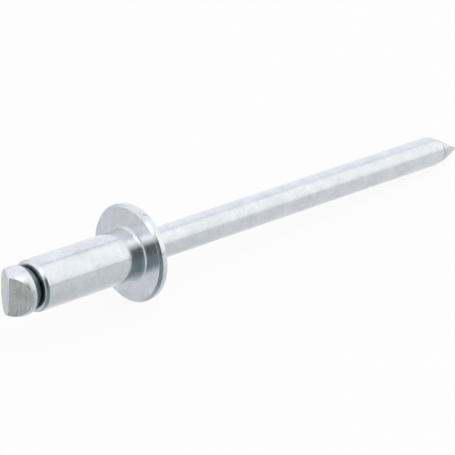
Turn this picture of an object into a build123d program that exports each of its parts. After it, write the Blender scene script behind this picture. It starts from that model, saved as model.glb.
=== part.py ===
from build123d import *

import os
from math import asin, atan2, cos, degrees, hypot, radians, sin, sqrt, tan

# Open-end blind rivet, unset, lying at rest on its flange's rim and on its stem.
# It is two pieces: a hollow body with a dome flange, and the mandrel that runs through it.
# Lengths are in millimetres. Places along the rivet are measured from the flange's underside,
# which is zero: they grow towards the stem's tip, and are negative along the shank.

# Body: shank
shank_diameter = 4.8
shank_length = 11.44
shank_end_round = 0.38
bore_clearance = 0.05
mouth_inner_round = 0.2

# Body: flange
flange_diameter = 9.2
flange_rim_height = 0.81
flange_dome_rise = 0.8
neck_fillet = 0.38
flange_under_chamfer = 0.25
flange_rim_round = 0.12
flange_hole_round = 0.12

# Mandrel: stem and its cropped tip
stem_diameter = 2.95
stem_reach = 42.76
stem_taper_length = 2.0
stem_taper_angle = 8.7
tip_flat_angle = 24.6
tip_ridge_rise = 0.16

# Mandrel: break neck, hidden in the shank
break_neck_diameter = 2.4
break_neck_width = 0.9
break_neck_setback = 1.6

# Mandrel: upset head, its tapered seat in the shank's mouth, and the two flats that crop it
head_diameter = 4.56
head_seat_angle = 26.5
head_seat_depth = 0.51
head_rim_width = 0.4
head_rim_round = 0.1
head_dome_radius = 2.5
head_height = 1.75
head_near_flat_angle = 35.0
head_far_flat_angle = 30.0
head_ridge_offset = 0.35
head_ridge_land = 0.33

# Radii and places that follow from the sizes above
shank_radius = shank_diameter / 2
flange_radius = flange_diameter / 2
stem_radius = stem_diameter / 2
bore_radius = stem_radius + bore_clearance
head_radius = head_diameter / 2
seat_slope = tan(radians(head_seat_angle))
seat_place = head_seat_depth - shank_length
mouth_radius = bore_radius + head_seat_depth * seat_slope
head_rim_place = -shank_length - (head_radius - mouth_radius) / seat_slope
head_neck_place = head_rim_place + (head_radius - stem_radius) / seat_slope
head_end_place = head_rim_place - head_height

# A round or a chamfer takes at most its share of the wall that it is on
end_round_share = 0.62
mouth_round_share = 0.33
rim_round_share = 0.3
under_chamfer_share = 0.5
end_wall = shank_radius - mouth_radius
end_round = min(shank_end_round, end_round_share * end_wall)
mouth_round = min(mouth_inner_round, mouth_round_share * end_wall)
under_chamfer = min(flange_under_chamfer, under_chamfer_share * flange_rim_height)
rim_round = min(flange_rim_round, rim_round_share * flange_rim_height)

# Tilt at which the flange's rim and the stem's under line touch one level floor.
# The rim touches on the round between its band and the dome. The stem touches where its lower
# flat starts, or where its taper starts if that comes first.
touch_round_place = flange_rim_height - rim_round
touch_round_radius = flange_radius - rim_round
tip_flat_slope = tan(radians(tip_flat_angle))
taper_start_place = stem_reach - stem_taper_length
lower_flat_place = stem_reach - (stem_radius + tip_ridge_rise) / tip_flat_slope
touch_span = min(lower_flat_place, taper_start_place) - touch_round_place
touch_drop = touch_round_radius - stem_radius
rest_tilt = atan2(touch_drop, touch_span) + asin(rim_round / hypot(touch_drop, touch_span))

# Directions of the lying rivet: along it to the stem's tip, up across it, and level across it
along = Vector(cos(rest_tilt), 0, -sin(rest_tilt))
upward = Vector(sin(rest_tilt), 0, cos(rest_tilt))
sideways = Vector(0, -1, 0)
rivet_axis = Axis((0, 0, 0), along)
section_plane = Plane(origin=(0, 0, 0), x_dir=along, z_dir=sideways)


def corner(place, radius):
    """The corner of the section being drawn that lies at this place and radius."""
    return vertices().sort_by_distance((place, radius))[0]


# Rivet body: the half section of shank, flange and bore, turned about the axis.
# The dome is part of a sphere whose centre is on the axis.
dome_radius = (flange_radius**2 + flange_dome_rise**2) / (2 * flange_dome_rise)
dome_centre_place = flange_rim_height + flange_dome_rise - dome_radius
hole_edge_place = dome_centre_place + sqrt(dome_radius**2 - bore_radius**2)
with BuildPart() as rivet_body:
    with BuildSketch(section_plane) as body_section:
        with BuildLine():
            Polyline(
                (hole_edge_place, bore_radius),
                (seat_place, bore_radius),
                (-shank_length, mouth_radius),
                (-shank_length, shank_radius),
                (0, shank_radius),
                (0, flange_radius),
                (flange_rim_height, flange_radius),
            )
            RadiusArc(
                (flange_rim_height, flange_radius),
                (hole_edge_place, bore_radius),
                dome_radius,
            )
        make_face()
        fillet(corner(-shank_length, mouth_radius), radius=mouth_round)
        fillet(corner(-shank_length, shank_radius), radius=end_round)
        fillet(corner(0, shank_radius), radius=neck_fillet)
        chamfer(corner(0, flange_radius), length=under_chamfer)
        fillet(corner(flange_rim_height, flange_radius), radius=rim_round)
        fillet(corner(hole_edge_place, bore_radius), radius=flange_hole_round)
    revolve(axis=rivet_axis)

# Mandrel: the half section of head, break neck and stem, turned about the axis,
# then cropped by two flats at the head and by two at the tip.
# The blank runs past the tip's ridge, so that the flats alone end it.
blank_end_place = stem_reach + stem_taper_length / 4
blank_end_radius = stem_radius - (blank_end_place - taper_start_place) * tan(radians(stem_taper_angle))
break_neck_place = seat_place + break_neck_setback
break_neck_radius = break_neck_diameter / 2
dome_start_place = head_rim_place - head_rim_width
dome_reach = dome_start_place - head_end_place
head_end_radius = head_radius - head_dome_radius + sqrt(head_dome_radius**2 - dome_reach**2)
with BuildPart() as mandrel:
    with BuildSketch(section_plane) as mandrel_section:
        with BuildLine():
            Polyline(
                (dome_start_place, head_radius),
                (head_rim_place, head_radius),
                (head_neck_place, stem_radius),
                (break_neck_place - break_neck_width / 2, stem_radius),
                (break_neck_place, break_neck_radius),
                (break_neck_place + break_neck_width / 2, stem_radius),
                (taper_start_place, stem_radius),
                (blank_end_place, blank_end_radius),
                (blank_end_place, 0),
                (head_end_place, 0),
                (head_end_place, head_end_radius),
            )
            RadiusArc(
                (head_end_place, head_end_radius),
                (dome_start_place, head_radius),
                head_dome_radius,
            )
        make_face()
        fillet(corner(head_rim_place, head_radius), radius=head_rim_round)
    revolve(axis=rivet_axis)

    # Head flats: they lean back from the end on both sides of a narrow upright land,
    # which stands a little beside the axis
    for side, flat_angle in ((1, head_near_flat_angle), (-1, head_far_flat_angle)):
        lean = radians(flat_angle)
        land_edge_offset = head_ridge_offset + side * head_ridge_land / 2
        land_edge = along * head_end_place + sideways * land_edge_offset
        flat_normal = sideways * (side * sin(lean)) - along * cos(lean)
        split(bisect_by=Plane(origin=land_edge, z_dir=flat_normal), keep=Keep.BOTTOM)

    # Tip flats: one above and one below, which meet in a level ridge a little over the axis
    slant = radians(tip_flat_angle)
    tip_point = along * stem_reach + upward * tip_ridge_rise
    for side in (1, -1):
        flat_normal = upward * (side * cos(slant)) + along * sin(slant)
        split(bisect_by=Plane(origin=tip_point, z_dir=flat_normal), keep=Keep.BOTTOM)

rivet_body.part.label = "rivet_body"
mandrel.part.label = "mandrel"

os.makedirs("parts", exist_ok=True)
export_step(rivet_body.part, "parts/rivet_body.step")
export_step(mandrel.part, "parts/mandrel.step")
print("tilt at rest, degrees:", round(degrees(rest_tilt), 3))
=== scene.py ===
# %% [markdown]
# A blind rivet, zinc plated, is two pieces of steel: a hollow body with a dome flange, and a mandrel, the
# long wire that a rivet tool pulls. The CAD model of both is loaded first, as the frame, and its outer box
# is measured. Blender works in metres here and the rivet is measured in millimetres, so one number turns
# the one into the other.

import bpy
import bmesh
from math import asin, atan2, cos, degrees, exp, hypot, pi, radians, sin, sqrt, tan
from mathutils import Matrix, Vector, noise


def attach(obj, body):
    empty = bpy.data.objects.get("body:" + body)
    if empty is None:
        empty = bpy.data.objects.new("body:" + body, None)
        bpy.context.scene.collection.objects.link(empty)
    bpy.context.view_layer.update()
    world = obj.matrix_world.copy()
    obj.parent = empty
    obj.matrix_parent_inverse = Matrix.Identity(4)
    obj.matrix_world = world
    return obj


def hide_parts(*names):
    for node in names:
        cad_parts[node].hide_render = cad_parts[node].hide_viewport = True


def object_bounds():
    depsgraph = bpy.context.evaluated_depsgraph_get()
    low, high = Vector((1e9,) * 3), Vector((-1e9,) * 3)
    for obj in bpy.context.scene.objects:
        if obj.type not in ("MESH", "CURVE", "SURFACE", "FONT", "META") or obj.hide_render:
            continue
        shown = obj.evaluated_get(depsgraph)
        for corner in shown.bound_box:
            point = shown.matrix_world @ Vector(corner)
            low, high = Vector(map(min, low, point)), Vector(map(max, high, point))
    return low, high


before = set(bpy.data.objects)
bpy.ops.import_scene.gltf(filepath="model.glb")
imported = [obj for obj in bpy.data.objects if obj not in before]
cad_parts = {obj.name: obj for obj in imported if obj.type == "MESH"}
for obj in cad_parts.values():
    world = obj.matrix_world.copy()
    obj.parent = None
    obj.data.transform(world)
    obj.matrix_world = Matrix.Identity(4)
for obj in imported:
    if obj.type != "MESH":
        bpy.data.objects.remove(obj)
cad_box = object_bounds()
MM = 0.001
print("CAD nodes:", sorted(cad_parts))

# %% [markdown]
# The rivet lies on two places: the round of its flange's rim, and the wire, where the lower flat of the
# tip starts. The line that touches both gives the lean. Every piece is made level, with its places along X
# measured from the flange's underside, and one matrix then lays it down where the CAD has it. Modelling
# along an axis keeps each size readable, and leaning the finished mesh costs nothing.

# %% Lean of the rivet
flange_radius, rim_height, rim_round = 4.6, 0.81, 0.12
stem_radius, stem_reach = 1.475, 42.76
tip_slant, ridge_rise = radians(24.6), 0.16
lower_flat_start = stem_reach - (stem_radius + ridge_rise) / tan(tip_slant)
touch_span = lower_flat_start - (rim_height - rim_round)
touch_drop = flange_radius - rim_round - stem_radius
rest_tilt = atan2(touch_drop, touch_span) + asin(rim_round / hypot(touch_span, touch_drop))
lay_down = Matrix.Rotation(rest_tilt, 4, "Y") @ Matrix.Scale(MM, 4)
print("lean at rest, degrees:", round(degrees(rest_tilt), 3))

# %% [markdown]
# Colours are written as on a screen, in hex, and one function makes them linear, which is what shaders
# add up. One more small function adds a node with its settings and its links. Whatever is built in code
# instead of by hand in the node editor comes down to these two.

# %% Helpers for materials
def linear(hex_colour):
    """A screen colour as the four linear numbers that a shader takes."""
    channels = [int(hex_colour[i : i + 2], 16) / 255 for i in (1, 3, 5)]
    return (*[c / 12.92 if c <= 0.04045 else ((c + 0.055) / 1.055) ** 2.4 for c in channels], 1.0)


def add_node(tree, kind, settings=None, links=None):
    """Adds one node, gives its properties and sockets their values, and links its inputs."""
    node = tree.nodes.new(kind)
    for key, value in (settings or {}).items():
        if isinstance(key, str) and hasattr(node, key):
            setattr(node, key, value)
        else:
            node.inputs[key].default_value = value
    for key, socket in (links or {}).items():
        tree.links.new(socket, node.inputs[key])
    return node


def new_material(name):
    """A material with its node tree and its shader."""
    material = bpy.data.materials.new(name)
    material.use_nodes = True
    tree = material.node_tree
    return material, tree, tree.nodes["Principled BSDF"]


# %% [markdown]
# Both pieces are round, so each starts as half of its section: a flat face with a corner wherever the
# outline turns. A vertex bevel rounds the corners, the face is taken away, and its edges are spun about
# the axis. A revolved curve would do as well, but the bevel keeps each radius next to its corner.

# %% Helpers for turned pieces
ARC_STEP, FEWEST_STEPS = radians(6), 3
MERGE_GAP = 1e-5


def tangent_length(radius, turn):
    """How far from a corner a round of this radius starts, where the outline turns by this angle."""
    return radius * tan(turn / 2)


def turned(outline, steps):
    """Rounds the corners of a half section, given as (place, radius, round), and spins it."""
    bm = bmesh.new()
    corners = [bm.verts.new((place, 0, radius)) for place, radius, _ in outline]
    bm.faces.new(corners)
    rounds = []
    for i, (place, radius, corner_round) in enumerate(outline):
        next_place, next_radius, _ = outline[(i + 1) % len(outline)]
        before = Vector((place - outline[i - 1][0], radius - outline[i - 1][1]))
        after = Vector((next_place - place, next_radius - radius))
        if corner_round:
            rounds.append((corners[i], corner_round, before.angle(after)))
    for corner, corner_round, turn in rounds:
        bmesh.ops.bevel(
            bm, geom=[corner], offset=tangent_length(corner_round, turn), offset_type="ABSOLUTE",
            segments=max(FEWEST_STEPS, round(turn / ARC_STEP)), profile=0.5, affect="VERTICES", material=-1)
    bmesh.ops.delete(bm, geom=list(bm.faces), context="FACES_ONLY")
    on_axis = [edge for edge in bm.edges if all(abs(vert.co.z) < MERGE_GAP for vert in edge.verts)]
    bmesh.ops.delete(bm, geom=on_axis, context="EDGES")
    bmesh.ops.spin(
        bm, geom=list(bm.verts) + list(bm.edges), cent=(0, 0, 0), axis=(1, 0, 0), dvec=(0, 0, 0),
        angle=2 * pi, steps=steps, use_merge=True, use_duplicate=False)
    bmesh.ops.remove_doubles(bm, verts=bm.verts, dist=MERGE_GAP)
    bmesh.ops.recalc_face_normals(bm, faces=bm.faces)
    return bm


# %% [markdown]
# A bmesh is only a shape in memory. To be seen, it becomes a mesh, and the mesh an object. The object
# stays at the origin, unturned, because the lean is in its mesh. It then takes the place of the plain CAD
# node of the same piece. Smooth shading with weighted normals keeps flats flat and rounds soft.

# %% Helpers for objects
def mesh_of(name, bm):
    """The mesh that a finished bmesh makes."""
    mesh = bpy.data.meshes.new(name)
    bm.to_mesh(mesh)
    bm.free()
    return mesh


def placed(name, data):
    """An object in the scene for a mesh, a camera or a lamp."""
    thing = bpy.data.objects.new(name, data)
    bpy.context.scene.collection.objects.link(thing)
    return thing


def finished(name, bm, node, materials):
    """Lays a piece down in the CAD's place, makes it an object, and hides its CAD node in its stead."""
    bmesh.ops.transform(bm, matrix=lay_down, verts=bm.verts)
    mesh = mesh_of(name, bm)
    for face in mesh.polygons:
        face.use_smooth = True
    for material in materials:
        mesh.materials.append(material)
    piece = placed(name, mesh)
    weighted = piece.modifiers.new("even shading", "WEIGHTED_NORMAL")
    weighted.keep_sharp = True
    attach(piece, "root")
    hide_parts(node)
    print(name, len(mesh.polygons), "faces")


# %% [markdown]
# The mandrel's head has a cone under it, which sits in the flared mouth of the shank, and a narrow groove
# stays open between the head and the shank's end. Its places are worked out from a few sizes, before the
# finishes, because painted shade darkens the plating in the groove.

# %% Places around the groove
shank_radius, shank_end, bore_clearance = 2.4, -11.44, 0.05
head_radius, seat_depth, seat_slope = 2.28, 0.51, tan(radians(26.5))
bore_radius = stem_radius + bore_clearance
seat_place = shank_end + seat_depth
mouth_radius = bore_radius + seat_depth * seat_slope
head_rim_place = shank_end - (head_radius - mouth_radius) / seat_slope
print("groove at its outside, mm wide:", round(shank_end - head_rim_place, 2))

# %% [markdown]
# The rivet is cold-formed steel with a bright zinc plating, passivated clear. Zinc is a little bluer than
# steel, and the passivation, a film far thinner than a hair, drifts between faint tints: a cloud of noise
# run through a ramp of three colours. The groove lies in shade, and a second, darker colour paints that
# shade into the plating there. A picture of the surface would do the same, but wouldn't keep its
# sharpness close up.

# %% Helpers for plating
BRIGHT_ZINC = ("#D2D8DA", "#DDE1E3", "#E7E8EB")
# A darker colour for the painted shade in the groove.
GROOVE_SHADE_COLOUR = "#7D8A8C"
CLOUD_DARK, CLOUD_MIDDLE, CLOUD_LIGHT = 0.36, 0.5, 0.64


def rivet_coordinates(tree):
    """Object coordinates in millimetres, turned so that X runs along the rivet."""
    source = add_node(tree, "ShaderNodeTexCoord")
    return add_node(
        tree, "ShaderNodeMapping",
        {"Rotation": (0, -rest_tilt, 0), "Scale": (1 / MM, 1 / MM, 1 / MM)},
        {"Vector": source.outputs["Object"]})


def tint(tree, place, size_mm, hexes):
    """A slow drift between three colours, as the passivation's film gives."""
    cloud = add_node(
        tree, "ShaderNodeTexNoise", {"Scale": 1 / size_mm, "Detail": 8.0, "Roughness": 0.8},
        {"Vector": place.outputs[0]})
    ramp = add_node(tree, "ShaderNodeValToRGB", {}, {"Fac": cloud.outputs["Fac"]})
    stops = ramp.color_ramp.elements
    stops[0].position, stops[0].color = CLOUD_DARK, linear(hexes[0])
    stops[1].position, stops[1].color = CLOUD_LIGHT, linear(hexes[2])
    middle = stops.new(CLOUD_MIDDLE)
    middle.color = linear(hexes[1])
    return ramp


def paint_groove_shade(tree, film, along, across):
    """The film's colour, with painted shade where the shares along and across the rivet are both one."""
    share = add_node(
        tree, "ShaderNodeMath", {"operation": "MULTIPLY"}, {0: along.outputs[0], 1: across.outputs[0]})
    return add_node(
        tree, "ShaderNodeMix", {"data_type": "RGBA", 7: linear(GROOVE_SHADE_COLOUR)},
        {0: share.outputs[0], 6: film.outputs["Color"]})


# %% [markdown]
# The body's plating starts from its colour. The end face of the shank faces the groove, so painted shade
# darkens it over the last stretch of the shank, and only inside the round of its edge.

# %% Body plating, its colour
body_plating, tree, shader = new_material("zinc_plated_steel_satin")
shader.inputs["Metallic"].default_value = 1.0
place = rivet_coordinates(tree)
apart = add_node(tree, "ShaderNodeSeparateXYZ", {}, {"Vector": place.outputs[0]})
flatwise = add_node(tree, "ShaderNodeMapping", {"Scale": (0, 1, 1)}, {"Vector": place.outputs[0]})
radius = add_node(tree, "ShaderNodeVectorMath", {"operation": "LENGTH"}, {0: flatwise.outputs[0]})
film = tint(tree, place, 1.6, BRIGHT_ZINC)
near_end = add_node(
    tree, "ShaderNodeMapRange", {"From Min": shank_end + 0.24, "From Max": shank_end + 0.04},
    {"Value": apart.outputs["X"]})
near_bore = add_node(
    tree, "ShaderNodeMapRange", {"From Min": shank_radius - 0.28, "From Max": shank_radius - 0.4},
    {"Value": radius.outputs["Value"]})
# Painted shade on the shank's end face, where it faces the groove.
groove_shaded = paint_groove_shade(tree, film, near_end, near_bore)
tree.links.new(groove_shaded.outputs[2], shader.inputs["Base Color"])
print(body_plating.name, "has its colour:", len(tree.nodes), "nodes")

# %% [markdown]
# Rivets are tumbled in a drum, which leaves the shank satin. The press leaves the flange's underside and
# its fillet smoother, so the roughness falls at the fillet. The real grain is far finer than a fifth of a
# millimetre, and is drawn that coarse so that it shows.

# %% Body plating, its gloss
SHANK_ROUGHNESS, PRESSED_ROUGHNESS, GRAIN_ROUGHNESS = 0.08, 0.03, 0.12
GRAINS_PER_MM = 5.0
pressed = add_node(
    tree, "ShaderNodeMapRange",
    {"From Min": -0.5, "From Max": -0.35, "To Min": SHANK_ROUGHNESS, "To Max": PRESSED_ROUGHNESS},
    {"Value": apart.outputs["X"]})
grain = add_node(
    tree, "ShaderNodeTexNoise", {"Scale": GRAINS_PER_MM, "Detail": 6.0, "Roughness": 0.75},
    {"Vector": place.outputs[0]})
satin = add_node(
    tree, "ShaderNodeMath", {"operation": "MULTIPLY_ADD", 1: GRAIN_ROUGHNESS},
    {0: grain.outputs["Fac"], 2: pressed.outputs[0]})
tree.links.new(satin.outputs[0], shader.inputs["Roughness"])
print("roughness from", PRESSED_ROUGHNESS, "to", SHANK_ROUGHNESS + GRAIN_ROUGHNESS)

# %% [markdown]
# Two reliefs are too fine for the mesh, so they are bumps. Lines along the shank, three times as long as
# they are wide, fade out towards the pressed fillet. Fine rings on the flange's underside, as a turned die
# leaves them, follow the distance from the axis. Both are coarser than the real ones, so that they show.

# %% Body plating, its relief
LINES_PER_MM, LINE_STRETCH, LINE_DEPTH = 3.0, 0.35, 0.04
RINGS_PER_MM, RING_DEPTH = 7.0, 0.02
drawn = add_node(
    tree, "ShaderNodeMapping", {"Scale": (LINE_STRETCH, 1.0, 1.0)}, {"Vector": place.outputs[0]})
lines = add_node(
    tree, "ShaderNodeTexNoise", {"Scale": LINES_PER_MM, "Detail": 7.0, "Roughness": 0.7},
    {"Vector": drawn.outputs[0]})
tumbled = add_node(
    tree, "ShaderNodeMapRange", {"From Min": -0.55, "From Max": -1.1, "To Min": 0.08, "To Max": 0.2},
    {"Value": apart.outputs["X"]})
relief = add_node(
    tree, "ShaderNodeBump", {"Distance": LINE_DEPTH * MM},
    {"Strength": tumbled.outputs[0], "Height": lines.outputs["Fac"]})
rings = add_node(
    tree, "ShaderNodeTexNoise", {"noise_dimensions": "1D", "Scale": RINGS_PER_MM, "Detail": 3.0},
    {"W": radius.outputs["Value"]})
underside = add_node(
    tree, "ShaderNodeMapRange", {"From Min": 0.01, "From Max": 0.03, "To Min": 0.6, "To Max": 0.0},
    {"Value": apart.outputs["X"]})
ring_relief = add_node(
    tree, "ShaderNodeBump", {"Distance": RING_DEPTH * MM},
    {"Strength": underside.outputs[0], "Height": rings.outputs["Fac"], "Normal": relief.outputs["Normal"]})
tree.links.new(ring_relief.outputs["Normal"], shader.inputs["Normal"])
print(body_plating.name, "is done:", len(tree.nodes), "nodes")

# %% [markdown]
# The mandrel is drawn wire, plated with the same zinc, a little duller than the body and with an even
# grain. The back of its head faces the groove, so painted shade darkens the plating there too. The limit
# inside the shank only keeps that from the stem on the other side of the flange.

# %% Plating on the wire
INSIDE_SHANK = -10.0
WIRE_GRAINS_PER_MM, WIRE_GRAIN_DEPTH = 4.5, 0.04
wire_plating, tree, shader = new_material("zinc_plated_drawn_wire")
shader.inputs["Metallic"].default_value = 1.0
place = rivet_coordinates(tree)
apart = add_node(tree, "ShaderNodeSeparateXYZ", {}, {"Vector": place.outputs[0]})
film = tint(tree, place, 1.8, BRIGHT_ZINC)
behind_head = add_node(
    tree, "ShaderNodeMapRange", {"From Min": head_rim_place - 0.016, "From Max": head_rim_place + 0.084},
    {"Value": apart.outputs["X"]})
in_mouth = add_node(
    tree, "ShaderNodeMath", {"operation": "LESS_THAN", 1: INSIDE_SHANK}, {0: apart.outputs["X"]})
# Painted shade on the back of the head and its cone, where they face the groove.
groove_shaded = paint_groove_shade(tree, film, behind_head, in_mouth)
tree.links.new(groove_shaded.outputs[2], shader.inputs["Base Color"])
grain = add_node(
    tree, "ShaderNodeTexNoise", {"Scale": WIRE_GRAINS_PER_MM, "Detail": 4.0, "Roughness": 0.65},
    {"Vector": place.outputs[0]})
satin = add_node(
    tree, "ShaderNodeMapRange", {"To Min": 0.16, "To Max": 0.3}, {"Value": grain.outputs["Fac"]})
tree.links.new(satin.outputs[0], shader.inputs["Roughness"])
relief = add_node(
    tree, "ShaderNodeBump", {"Strength": 0.25, "Distance": WIRE_GRAIN_DEPTH * MM},
    {"Height": grain.outputs["Fac"]})
tree.links.new(relief.outputs["Normal"], shader.inputs["Normal"])
print(wire_plating.name, "is done:", len(tree.nodes), "nodes")

# %% [markdown]
# A cropped end is torn steel, plated afterwards. It is rough all over, so it scatters light and looks
# evenly grey where the turned faces mirror the tent, and it has streaks along the cut, a seventh of a
# millimetre wide and a millimetre long.

# %% Plating on the cropped ends
TORN_ZINC = ("#DCDAD5", "#EAE8E5", "#F2F0EE")
STREAKS_PER_MM, STREAK_DEPTH = (7.0, 7.0, 1.0), 0.08
cropped_plating, tree, shader = new_material("zinc_plated_sheared_steel")
shader.inputs["Metallic"].default_value = 1.0
shader.inputs["Roughness"].default_value = 0.8
place = rivet_coordinates(tree)
film = tint(tree, place, 0.8, TORN_ZINC)
tree.links.new(film.outputs["Color"], shader.inputs["Base Color"])
streaked = add_node(tree, "ShaderNodeMapping", {"Scale": STREAKS_PER_MM}, {"Vector": place.outputs[0]})
tears = add_node(
    tree, "ShaderNodeTexNoise", {"Scale": 1.0, "Detail": 5.0, "Roughness": 0.6},
    {"Vector": streaked.outputs[0]})
relief = add_node(
    tree, "ShaderNodeBump", {"Strength": 0.5, "Distance": STREAK_DEPTH * MM},
    {"Height": tears.outputs["Fac"]})
tree.links.new(relief.outputs["Normal"], shader.inputs["Normal"])
print(cropped_plating.name, "is done:", len(tree.nodes), "nodes")

# %% [markdown]
# The body is headed from wire in a press: a hollow shank with a dome flange. Its hole goes right through
# and flares at the shank's end, where the mandrel's head sits. The underside of the flange is a flat
# pressed face, with a small fillet at the shank and a crisp chamfer at its rim. Crisp edges still have a
# tiny round, which catches the light as a thin line. The dome is part of a sphere, so in the section it is
# one corner with a very large round. That round is made a little short, to leave room for its neighbours.

# %% Rivet body
CRISP, DOME_SHARE = 0.03, 0.9
end_round, mouth_round, neck_fillet, chamfer = 0.38, 0.2, 0.38, 0.25
dome_rise, hole_round = 0.8, 0.12
dome_radius = (flange_radius**2 + dome_rise**2) / (2 * dome_rise)
slope_at_rim, slope_at_hole = asin(flange_radius / dome_radius), asin(bore_radius / dome_radius)
hole_edge_place = rim_height + dome_rise - dome_radius + dome_radius * cos(slope_at_hole)
dome_tangent = tangent_length(dome_radius, slope_at_rim - slope_at_hole)
dome_corner = (
    rim_height + dome_tangent * sin(slope_at_rim), flange_radius - dome_tangent * cos(slope_at_rim))
body = turned([
    (hole_edge_place, bore_radius, hole_round),
    (seat_place, bore_radius, 0),
    (shank_end, mouth_radius, mouth_round),
    (shank_end, shank_radius, end_round),
    (0, shank_radius, neck_fillet),
    (0, flange_radius - chamfer, CRISP),
    (chamfer, flange_radius, CRISP),
    (rim_height, flange_radius, rim_round),
    (*dome_corner, dome_radius * DOME_SHARE),
], steps=256)
finished("rivet_body_plated", body, "rivet_body", [body_plating])

# %% [markdown]
# The mandrel is wire with an upset head, a cone under it, and a neck inside the shank where it will break.
# Presses crop both ends with two slanting cuts, which leave rough flats that meet in a ridge. The round
# blank is turned first, longer than the wire, so that the flats alone end it. A shallow step rings the
# wire where its taper to the tip starts.

# %% Mandrel blank
head_rim_width, head_height, head_dome_radius, head_edge_round = 0.4, 1.75, 2.5, 0.1
neck_setback, neck_radius, neck_half_width = 1.6, 1.2, 0.45
taper_length, taper_slope, blank_excess = 2.0, tan(radians(8.7)), 0.5
step_width, step_depth = 0.07, 0.05
HEAD_DOME_SHARE = 0.98
head_end_place = head_rim_place - head_height
head_cone_end = head_rim_place + (head_radius - stem_radius) / seat_slope
dome_start = head_rim_place - head_rim_width
dome_reach = dome_start - head_end_place
head_end_radius = head_radius - head_dome_radius + sqrt(head_dome_radius**2 - dome_reach**2)
head_dome_corner = dome_start - tangent_length(head_dome_radius, asin(dome_reach / head_dome_radius))
neck_place = seat_place + neck_setback
taper_start, blank_end = stem_reach - taper_length, stem_reach + blank_excess
mandrel = turned([
    (head_end_place, 0, 0),
    (head_end_place, head_end_radius, 0),
    (head_dome_corner, head_radius, head_dome_radius * HEAD_DOME_SHARE),
    (head_rim_place, head_radius, head_edge_round),
    (head_cone_end, stem_radius, 0),
    (neck_place - neck_half_width, stem_radius, 0),
    (neck_place, neck_radius, 0),
    (neck_place + neck_half_width, stem_radius, 0),
    (taper_start - step_width, stem_radius, 0),
    (taper_start, stem_radius - step_depth, 0),
    (taper_start + step_width, stem_radius - step_width * taper_slope, 0),
    (blank_end, stem_radius - (blank_end - taper_start) * taper_slope, 0),
    (blank_end, 0, 0),
], steps=192)
print("mandrel blank", len(mandrel.faces), "faces")

# %% [markdown]
# A crop is a shear cut: the tool bites a little, and then the steel tears. Each flat is cut with a plane
# and its rim is marked sharp. Parallel cuts then score it into small squares, so that there are points to
# move. Subdividing would score it too, but not evenly, because the flat starts as one face with many sides.

# %% Helpers for the flats
CUT_GAP, FLAT_GAP, SCORE_REACH = 1e-6, 1e-3, 3.0


def crop(bm, point, normal, material_index):
    """Cuts away what is beyond a plane, closes the cut, and gives it a material and a sharp rim."""
    cut = bmesh.ops.bisect_plane(
        bm, geom=list(bm.verts) + list(bm.edges) + list(bm.faces), dist=CUT_GAP,
        plane_co=point, plane_no=normal, clear_outer=True, clear_inner=False)
    rim = [part for part in cut["geom_cut"] if isinstance(part, bmesh.types.BMEdge)]
    for edge in rim:
        edge.smooth = False
    for face in bmesh.ops.contextual_create(bm, geom=rim)["faces"]:
        face.material_index = material_index


def on_flat(face, point, normal):
    """Whether a face lies in a cut."""
    return face.material_index and abs((face.calc_center_median() - point).dot(normal)) < FLAT_GAP


def score(bm, point, normal, directions, spacing):
    """Scores a flat with rows of parallel cuts along each direction, so that it is a grid."""
    rows = int(SCORE_REACH / spacing)
    for direction in directions:
        step = normal.cross(direction).normalized()
        for i in range(-rows, rows + 1):
            parts = set()
            for face in [f for f in bm.faces if on_flat(f, point, normal)]:
                parts.update((face, *face.edges, *face.verts))
            bmesh.ops.bisect_plane(
                bm, geom=list(parts), dist=MERGE_GAP, plane_co=point + step * (i * spacing), plane_no=step)


# %% [markdown]
# The scored points are moved a few hundredths of a millimetre by noise, which gives the torn face a real
# relief that a bump wouldn't put in the mesh. The points on the rim stay, so that the edge stays closed.
# A crack is pressed in the same way: deepest on its line, and gone a few widths beside it.

# %% Helpers for torn steel
def torn(across, along):
    """Noise for long tears, four to a millimetre and about one long, and a finer grain half as deep."""
    tears = noise.noise(Vector((across * 4.0, along * 0.9, 5.0)))
    return tears + 0.5 * noise.noise(Vector((across * 9.0, along * 5.0, 1.0)))


def cracked(place, start, end, depth, width):
    """How deep a straight crack is at a place."""
    line = (end - start).normalized()
    reach = (place - start).dot(line)
    beside = (place - start) - line * reach
    return (0 < reach < (end - start).length) * depth * exp(-((beside.length / width) ** 2))


def tear(bm, point, normal, streak, depth, crack=None):
    """Moves a flat's inner points by noise, drawn out along the streak, and presses in a crack."""
    across = normal.cross(streak).normalized()
    flat_faces = [face for face in bm.faces if on_flat(face, point, normal)]
    corners = {vert for face in flat_faces for vert in face.verts}
    inner = [vert for vert in corners if all(on_flat(face, point, normal) for face in vert.link_faces)]
    moves = []
    for vert in inner:
        away = vert.co - point
        move = depth * torn(away.dot(across), away.dot(streak))
        if crack:
            move -= cracked(vert.co, *crack)
        moves.append(normal * move)
    for vert, move in zip(inner, moves):
        vert.co += move
    print("torn points:", len(inner))


# %% [markdown]
# The head is cropped by two flats that lean back from a narrow land, which stands a little beside the
# axis. They lean by different angles, and a crack runs across them. The land is what the two cuts leave.

# %% Flats of the head
sideways, upright = Vector((0, -1, 0)), Vector((0, 0, 1))
land_offset, land_width = 0.35, 0.33
head_grid, head_tear = 0.08, 0.025
head_flats = []
for side, lean_degrees in ((1, 35), (-1, 30)):
    lean = radians(lean_degrees)
    edge_point = Vector((head_end_place, 0, 0)) + sideways * (land_offset + side * land_width / 2)
    flat_normal = sideways * (side * sin(lean)) - Vector((cos(lean), 0, 0))
    crop(mandrel, edge_point, flat_normal, 1)
    head_flats.append((edge_point, flat_normal))
crack_start, crack_end = Vector((-14.0, 1.4, -0.57)), Vector((-14.0, -0.64, 0.0))
crack_depth, crack_width = 0.1, 0.06
crack = (crack_start, crack_end, crack_depth, crack_width)
for edge_point, flat_normal in head_flats:
    score(mandrel, edge_point, flat_normal, (upright, flat_normal.cross(upright)), head_grid)
    tear(mandrel, edge_point, flat_normal, upright, head_tear, crack)

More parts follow.
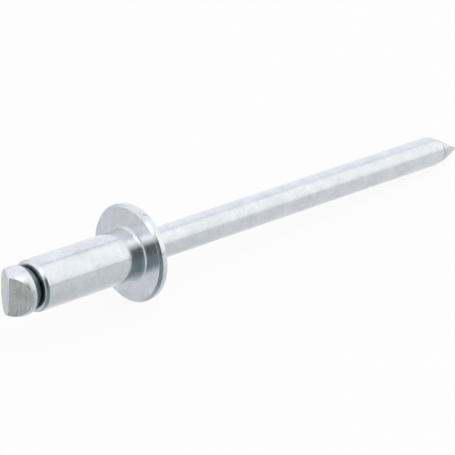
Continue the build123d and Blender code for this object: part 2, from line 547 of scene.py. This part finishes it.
# %% [markdown]
# The tip is cropped like a chisel, by one flat from above and one from below, which meet in a level ridge
# a little over the axis. The lower one is hidden, and repeats the upper one.

# %% Flats of the tip
tip_grid, tip_tear = 0.1, 0.015
tip_point = Vector((stem_reach, 0, ridge_rise))
tip_flats = [Vector((sin(tip_slant), 0, side * cos(tip_slant))) for side in (1, -1)]
for flat_normal in tip_flats:
    crop(mandrel, tip_point, flat_normal, 1)
for flat_normal in tip_flats:
    score(mandrel, tip_point, flat_normal, (sideways, flat_normal.cross(sideways)), tip_grid)
    tear(mandrel, tip_point, flat_normal, flat_normal.cross(sideways), tip_tear)
bmesh.ops.recalc_face_normals(mandrel, faces=mandrel.faces)
finished("mandrel_plated", mandrel, "mandrel", [wire_plating, cropped_plating])

# %% [markdown]
# The photograph is taken from the head's side, from well above, with a long lens. The camera's place and
# aim were fitted to the outlines in the photograph. They are given from the rivet, along it, across it and
# up, and lean with it, so the fit holds whatever the lean is.

# %% Camera
camera_place = Vector((-158.192, -171.0, 109.561))
camera_aim = Vector((0.6428, 0.6436, -0.4154))
camera_data = bpy.data.cameras.new("camera")
camera_data.sensor_width = 36
camera_data.lens = 225.5
camera_data.clip_start = 0.01
camera = placed("camera", camera_data)
camera.location = lay_down @ camera_place
camera.rotation_euler = (lay_down.to_3x3() @ camera_aim).to_track_quat("-Z", "Y").to_euler()
bpy.context.scene.camera = camera
print("camera, mm from the flange:", round(camera_place.length))

# %% [markdown]
# The rivet lies on plain white paper. To the camera the paper glows white for the most part, and the rest
# is matt paper, which keeps the shadow. More light on real paper would whiten it too, but would also
# change the rivet.

# %% Floor
floor_half_width, WHITE_SHARE = 1.5, 0.92
floor_bm = bmesh.new()
bmesh.ops.create_grid(floor_bm, x_segments=1, y_segments=1, size=floor_half_width)
bmesh.ops.translate(floor_bm, vec=(0, 0, cad_box[0][2]), verts=floor_bm.verts)
floor = placed("floor", mesh_of("floor", floor_bm))
floor.visible_glossy = False
paper, tree, shader = new_material("white_paper")
tree.nodes.remove(shader)
rays = add_node(tree, "ShaderNodeLightPath")
matte = add_node(tree, "ShaderNodeBsdfDiffuse", {"Color": linear("#F2F2F2")})
white = add_node(tree, "ShaderNodeEmission", {"Color": linear("#FFFFFF"), "Strength": 1.0})
seen = add_node(
    tree, "ShaderNodeMath", {"operation": "MULTIPLY", 1: WHITE_SHARE}, {0: rays.outputs["Is Camera Ray"]})
mixed = add_node(
    tree, "ShaderNodeMixShader", {}, {0: seen.outputs[0], 1: matte.outputs[0], 2: white.outputs[0]})
tree.links.new(mixed.outputs[0], tree.nodes["Material Output"].inputs["Surface"])
floor.data.materials.append(paper)
print("floor at", round(cad_box[0][2] / MM, 3), "mm")

# %% [markdown]
# The world lights the floor evenly from all sides. Camera, glossy and transmission rays see it as plain
# white instead, so that the background is white behind the rivet and in it.

# %% World
ROOM_STRENGTH = 0.8
world = bpy.data.worlds.new("studio")
bpy.context.scene.world = world
world.use_nodes = True
tree = world.node_tree
rays = add_node(tree, "ShaderNodeLightPath")
glossy_too = add_node(
    tree, "ShaderNodeMath", {"operation": "ADD"},
    {0: rays.outputs["Is Camera Ray"], 1: rays.outputs["Is Glossy Ray"]})
transmitted_too = add_node(
    tree, "ShaderNodeMath", {"operation": "ADD", "use_clamp": True},
    {0: glossy_too.outputs[0], 1: rays.outputs["Is Transmission Ray"]})
room = add_node(tree, "ShaderNodeBackground", {"Color": linear("#FFFFFF"), "Strength": ROOM_STRENGTH})
white_room = add_node(tree, "ShaderNodeBackground", {"Color": linear("#FFFFFF"), "Strength": 1.0})
mixed = add_node(
    tree, "ShaderNodeMixShader", {},
    {0: transmitted_too.outputs[0], 1: room.outputs[0], 2: white_room.outputs[0]})
tree.links.new(mixed.outputs[0], tree.nodes["World Output"].inputs["Surface"])
print("room light:", ROOM_STRENGTH)

# %% [markdown]
# Bright metal has hardly a colour of its own: it shows what stands around it. Small shiny goods are
# photographed in a tent of white cloth, lit from outside, which is brighter where the lamps are and dark
# where the camera looks in. Here it is a tube around the rivet, closed at both ends, that only glossy rays
# see, so that the floor and the background know nothing of it. Lamps in the room would do as well, but
# each band of light on the shank is easier to place by its angle around a tube.

# %% Shape of the tent
tent_radius, tent_length = 0.5, 3.0
tent_bm = bmesh.new()
bmesh.ops.create_circle(tent_bm, cap_ends=True, radius=tent_radius, segments=96)
walls = bmesh.ops.extrude_edge_only(tent_bm, edges=list(tent_bm.edges))["geom"]
far_ring = [part for part in walls if isinstance(part, bmesh.types.BMVert)]
bmesh.ops.translate(tent_bm, vec=(0, 0, tent_length), verts=far_ring)
bmesh.ops.translate(tent_bm, vec=(0, 0, -tent_length / 2), verts=tent_bm.verts)
bmesh.ops.rotate(tent_bm, cent=(0, 0, 0), matrix=Matrix.Rotation(pi / 2, 3, "Y"), verts=tent_bm.verts)
tent = placed("light_tent", mesh_of("light_tent", tent_bm))
tent.visible_camera = tent.visible_diffuse = tent.visible_shadow = False
print("light tent", len(tent.data.polygons), "faces")

# %% [markdown]
# The tube has eight colours, one for each thing that stands in such a tent: cloth in the light and in the
# shade, the cloth beside the lamp and the lamp, the paper's sweep lit and shaded, the opening that the
# camera looks in through, and the seams, which draw the thin dark lines along the shank. A ninth is the
# cloth of the end that the head points at, which the flange's fillet mirrors. They are placed by the angle
# around the tube: zero is level on the camera's side, and 90 is overhead. The half beyond the stem's tip
# is brighter than the half beside the camera, so each half has its own ramp. The places and levels are
# round values that follow the light on the metal in the photograph.

# %% Colours of the tent
BRIGHTEST, END_COLOUR = 1.5, "#B4B8BC"
CLOTH, SHADED_CLOTH, LAMP_SIDE, LAMP = "#D8D8DE", "#BABABE", "#E4E4E4", "#FFFFFF"
SWEEP, SHADED_SWEEP, OPENING, SEAM = "#C4C4C6", "#6C7A7E", "#5C5E60", "#A0A0A4"
beyond_tip = [
    (-180, CLOTH), (-90, SWEEP), (1, SWEEP), (4, SEAM), (7, CLOTH), (30, LAMP_SIDE), (85, LAMP_SIDE),
    (105, CLOTH), (109, SEAM), (113, CLOTH), (180, CLOTH)]
beside_camera = [
    (-180, SHADED_CLOTH), (-120, SHADED_CLOTH), (-60, SHADED_SWEEP), (-20, SHADED_SWEEP), (10, OPENING),
    (38, OPENING), (70, LAMP), (80, LAMP), (98, CLOTH), (140, CLOTH), (180, SHADED_CLOTH)]
print("places around the tent:", len(beyond_tip), "and", len(beside_camera))

# %% [markdown]
# A colour ramp runs from 0 to 1, so the angle is brought to that range first. The two ramps blend over a
# stretch of the tube beyond the flange, and the closed end takes over from both near the head's end.

# %% Cloth of the tent
HALVES_MEET, HALVES_PART = 0.3 * tent_radius, 0.75 * tent_radius
END_STARTS, END_FULL = -0.6, -1.0


def ring_ramp(tree, share, levels):
    """A colour ramp for places around the tube, given in degrees from -180 to 180."""
    ramp = add_node(tree, "ShaderNodeValToRGB", {}, {"Fac": share.outputs[0]})
    stops = ramp.color_ramp.elements
    stops.remove(stops[1])
    for i, (angle_degrees, colour) in enumerate(levels):
        position = (angle_degrees + 180) / 360
        stop = stops.new(position) if i else stops[0]
        stop.position, stop.color = position, linear(colour)
    return ramp


cloth, tree, shader = new_material("tent_cloth")
tree.nodes.remove(shader)
source = add_node(tree, "ShaderNodeTexCoord")
apart = add_node(tree, "ShaderNodeSeparateXYZ", {}, {"Vector": source.outputs["Object"]})
outward = add_node(tree, "ShaderNodeMath", {"operation": "MULTIPLY", 1: -1.0}, {0: apart.outputs["Y"]})
angle = add_node(
    tree, "ShaderNodeMath", {"operation": "ARCTAN2"}, {0: apart.outputs["Z"], 1: outward.outputs[0]})
turn_share = add_node(
    tree, "ShaderNodeMapRange", {"From Min": -pi, "From Max": pi}, {"Value": angle.outputs[0]})
half_share = add_node(
    tree, "ShaderNodeMapRange", {"From Min": HALVES_MEET, "From Max": HALVES_PART},
    {"Value": apart.outputs["X"]})
both = add_node(
    tree, "ShaderNodeMix", {"data_type": "RGBA"},
    {0: half_share.outputs[0], 6: ring_ramp(tree, turn_share, beside_camera).outputs["Color"],
     7: ring_ramp(tree, turn_share, beyond_tip).outputs["Color"]})
end_share = add_node(
    tree, "ShaderNodeMapRange", {"From Min": END_STARTS, "From Max": END_FULL},
    {"Value": apart.outputs["X"]})
with_end = add_node(
    tree, "ShaderNodeMix", {"data_type": "RGBA", 7: linear(END_COLOUR)},
    {0: end_share.outputs[0], 6: both.outputs[2]})
glow = add_node(tree, "ShaderNodeEmission", {"Strength": BRIGHTEST}, {"Color": with_end.outputs[2]})
tree.links.new(glow.outputs[0], tree.nodes["Material Output"].inputs["Surface"])
tent.data.materials.append(cloth)
print(cloth.name, "is done:", len(tree.nodes), "nodes")

# %% [markdown]
# One soft lamp overhead shades the floor. The metal doesn't show it, because the tent has its light.

# %% Lamp
lamp_data = bpy.data.lights.new("softbox", "AREA")
lamp_data.shape = "RECTANGLE"
lamp_data.size, lamp_data.size_y = 0.5, 0.35
lamp_data.energy = 0.6
lamp = placed("softbox", lamp_data)
lamp.location = (0.1, -0.15, 0.6)
lamp.rotation_euler = (-lamp.location).to_track_quat("-Z", "Y").to_euler()
lamp.visible_glossy = False
print("lamp, mm overhead:", round(lamp.location.z / MM))

# %% [markdown]
# Standard view keeps a colour as it is written.

# %% View transform
bpy.context.scene.view_settings.view_transform = "Standard"
